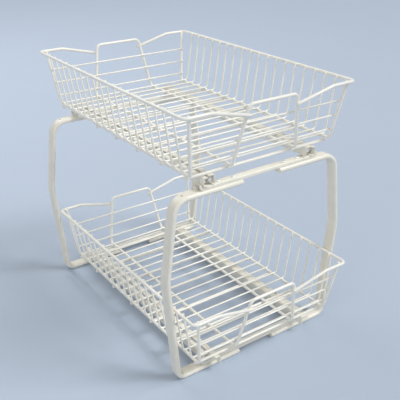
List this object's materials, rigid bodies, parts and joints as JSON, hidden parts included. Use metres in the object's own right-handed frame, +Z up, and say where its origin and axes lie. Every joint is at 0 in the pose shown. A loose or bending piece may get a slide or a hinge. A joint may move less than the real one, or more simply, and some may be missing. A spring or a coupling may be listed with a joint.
{
  "type": "two-tier sliding organizer",
  "caption": "Tiered sliding organizer: coated wire baskets roll forward on rails in a free-standing stand of bent flat-oval tubes.",
  "frame": {"origin": "centre of the outline at rest, on the surface that the stand rests on", "axes": "+Z up, +X to the right seen from the front, +Y to the back; the baskets pull out towards -Y"},
  "size_m": [0.3272, 0.456, 0.4152],
  "materials": {
    "basket_coating": "satin vinyl coating",
    "stand_paint": "satin powder coat",
    "roller_nylon": "satin moulded nylon",
    "fastener_zinc": "zinc plated"
  },
  "bodies": {
    "stand": {"front_left_leg": "stand_paint", "front_right_leg": "stand_paint", "rear_left_leg": "stand_paint", "rear_right_leg": "stand_paint", "upper_front_crossbar": "stand_paint", "upper_rear_crossbar": "stand_paint", "upper_crossbar_screws": "fastener_zinc", "upper_rail_rivets": "fastener_zinc", "upper_front_roller_pins": "fastener_zinc", "upper_left_channel": "stand_paint", "upper_right_channel": "stand_paint", "lower_front_crossbar": "stand_paint", "lower_rear_crossbar": "stand_paint", "lower_crossbar_screws": "fastener_zinc", "lower_rail_rivets": "fastener_zinc", "lower_front_roller_pins": "fastener_zinc", "lower_left_channel": "stand_paint", "lower_right_channel": "stand_paint"},
    "upper_basket": {"upper_left_rim": "basket_coating", "upper_right_rim": "basket_coating", "upper_handle_loop": "basket_coating", "upper_left_side_loop": "basket_coating", "upper_right_side_loop": "basket_coating", "upper_grid_wires": "basket_coating", "upper_end_wires": "basket_coating", "upper_cross_wires": "basket_coating", "upper_left_runner": "stand_paint", "upper_right_runner": "stand_paint", "upper_rear_roller_pins": "fastener_zinc"},
    "upper_left_front_roller": {"upper_left_front_roller": "roller_nylon"},
    "upper_left_rear_roller": {"upper_left_rear_roller": "roller_nylon"},
    "upper_right_front_roller": {"upper_right_front_roller": "roller_nylon"},
    "upper_right_rear_roller": {"upper_right_rear_roller": "roller_nylon"},
    "lower_basket": {"lower_left_rim": "basket_coating", "lower_right_rim": "basket_coating", "lower_handle_loop": "basket_coating", "lower_left_side_loop": "basket_coating", "lower_right_side_loop": "basket_coating", "lower_grid_wires": "basket_coating", "lower_end_wires": "basket_coating", "lower_cross_wires": "basket_coating", "lower_left_runner": "stand_paint", "lower_right_runner": "stand_paint", "lower_rear_roller_pins": "fastener_zinc"},
    "lower_left_front_roller": {"lower_left_front_roller": "roller_nylon"},
    "lower_left_rear_roller": {"lower_left_rear_roller": "roller_nylon"},
    "lower_right_front_roller": {"lower_right_front_roller": "roller_nylon"},
    "lower_right_rear_roller": {"lower_right_rear_roller": "roller_nylon"}
  },
  "joints": [
    {"name": "upper_slide", "type": "slide", "parent": "stand", "child": "upper_basket", "axis": [0, -1, 0], "range_m": [0, 0.3]},
    {"name": "upper_left_front_roller_spin", "type": "hinge", "parent": "stand", "child": "upper_left_front_roller", "pos_m": [-0.0878, -0.1765, 0.3114], "axis": [1, 0, 0], "continuous": true},
    {"name": "upper_left_rear_roller_spin", "type": "hinge", "parent": "upper_basket", "child": "upper_left_rear_roller", "pos_m": [-0.0962, 0.1885, 0.3099], "axis": [1, 0, 0], "continuous": true},
    {"name": "upper_right_front_roller_spin", "type": "hinge", "parent": "stand", "child": "upper_right_front_roller", "pos_m": [0.0878, -0.1765, 0.3114], "axis": [1, 0, 0], "continuous": true},
    {"name": "upper_right_rear_roller_spin", "type": "hinge", "parent": "upper_basket", "child": "upper_right_rear_roller", "pos_m": [0.0962, 0.1885, 0.3099], "axis": [1, 0, 0], "continuous": true},
    {"name": "lower_slide", "type": "slide", "parent": "stand", "child": "lower_basket", "axis": [0, -1, 0], "range_m": [-0.017, 0.283]},
    {"name": "lower_left_front_roller_spin", "type": "hinge", "parent": "stand", "child": "lower_left_front_roller", "pos_m": [-0.0878, -0.1765, 0.0214], "axis": [1, 0, 0], "continuous": true},
    {"name": "lower_left_rear_roller_spin", "type": "hinge", "parent": "lower_basket", "child": "lower_left_rear_roller", "pos_m": [-0.0962, 0.1715, 0.0199], "axis": [1, 0, 0], "continuous": true},
    {"name": "lower_right_front_roller_spin", "type": "hinge", "parent": "stand", "child": "lower_right_front_roller", "pos_m": [0.0878, -0.1765, 0.0214], "axis": [1, 0, 0], "continuous": true},
    {"name": "lower_right_rear_roller_spin", "type": "hinge", "parent": "lower_basket", "child": "lower_right_rear_roller", "pos_m": [0.0962, 0.1715, 0.0199], "axis": [1, 0, 0], "continuous": true}
  ],
  "couplings": [
    {"joint": "upper_left_front_roller_spin", "follows": "upper_slide", "rad_per_m": 166.67},
    {"joint": "upper_left_rear_roller_spin", "follows": "upper_slide", "rad_per_m": 181.82},
    {"joint": "upper_right_front_roller_spin", "follows": "upper_slide", "rad_per_m": 166.67},
    {"joint": "upper_right_rear_roller_spin", "follows": "upper_slide", "rad_per_m": 181.82},
    {"joint": "lower_left_front_roller_spin", "follows": "lower_slide", "rad_per_m": 166.67},
    {"joint": "lower_left_rear_roller_spin", "follows": "lower_slide", "rad_per_m": 181.82},
    {"joint": "lower_right_front_roller_spin", "follows": "lower_slide", "rad_per_m": 166.67},
    {"joint": "lower_right_rear_roller_spin", "follows": "lower_slide", "rad_per_m": 181.82}
  ]
}
